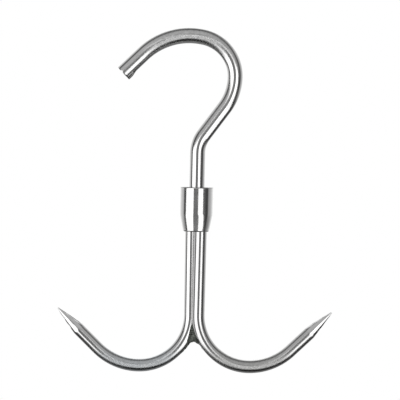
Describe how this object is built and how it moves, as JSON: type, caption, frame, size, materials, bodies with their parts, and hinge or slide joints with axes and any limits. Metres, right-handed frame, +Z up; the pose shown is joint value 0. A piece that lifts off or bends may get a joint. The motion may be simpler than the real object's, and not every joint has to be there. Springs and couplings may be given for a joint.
{
  "type": "swivel double meat hook",
  "caption": "Hanging hook for meat: a crook of round bar goes over a rail and turns freely in a sleeve that carries two opposed pointed prongs welded side by side.",
  "frame": {"origin": "the rail seat: the lowest line of the rail hook's crown, where it bears on a rail", "axes": "+Z up along the swivel axis, +X towards the rail hook's back and the right prong, +Y away from the side the hook is shown from"},
  "size_m": [0.1763, 0.0212, 0.2214],
  "materials": {
    "hook_steel": "polished stainless steel with fine lines along the bar",
    "prong_steel": "polished stainless steel with fine lines along the bar and ground points",
    "sleeve_steel": "turned and polished stainless steel",
    "ground_weld": "weld ground flush and polished",
    "weld_metal": "dark rough weld, as welded",
    "machined_steel": "plain turned stainless steel"
  },
  "bodies": {
    "hanger": {"top_hook": "hook_steel", "stop_ring": "machined_steel"},
    "swivel": {"swivel_sleeve": "sleeve_steel", "left_prong": "prong_steel", "right_prong": "prong_steel", "crotch_weld": "weld_metal", "sleeve_weld": "ground_weld"},
    "washer": {"thrust_washer": "machined_steel"}
  },
  "joints": [
    {"name": "swivel_turn", "type": "hinge", "parent": "hanger", "child": "swivel", "pos_m": [0.00607, 0, -0.09215], "axis": [0, 0, 1], "continuous": true},
    {"name": "washer_turn", "type": "hinge", "parent": "hanger", "child": "washer", "pos_m": [0.00607, 0, -0.0992], "axis": [0, 0, 1], "continuous": true}
  ]
}
